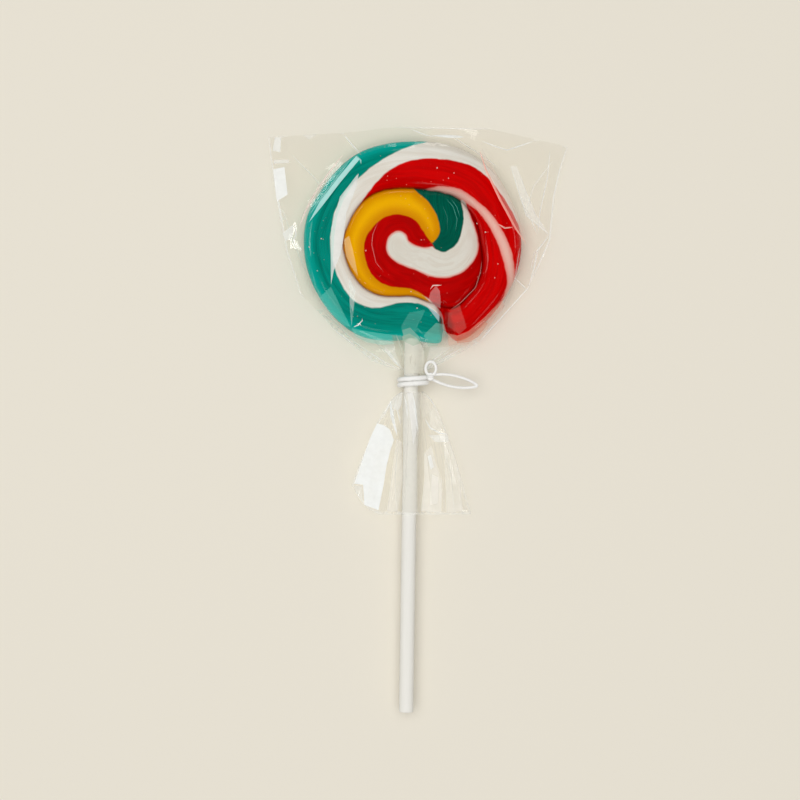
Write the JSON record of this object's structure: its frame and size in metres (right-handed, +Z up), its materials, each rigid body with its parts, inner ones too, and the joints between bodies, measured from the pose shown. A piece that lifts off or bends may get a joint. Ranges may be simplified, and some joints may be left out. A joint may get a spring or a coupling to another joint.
{
  "type": "swirl lollipop",
  "caption": "Round flat hard-candy lollipop with a coiled striped swirl on a paper stick, wrapped in a clear film bag tied at the neck with white cord.",
  "frame": {"origin": "on the flat back of the candy, under the middle of the disc, on the surface that the part lies on", "axes": "+X to the right of the shown face, +Y from the stick towards the top of the candy, +Z up out of the shown face"},
  "size_m": [0.0936, 0.1826, 0.0106],
  "materials": {
    "candy": "glossy boiled sugar in red, white, teal and yellow stripes",
    "paper_stick": "smooth rolled white paper",
    "clear_film": "clear glossy creased film",
    "white_cord": "matte covered elastic"
  },
  "bodies": {
    "root": {"candy": "candy", "stick": "paper_stick", "wrapper": "clear_film", "tie": "white_cord"}
  },
  "joints": []
}
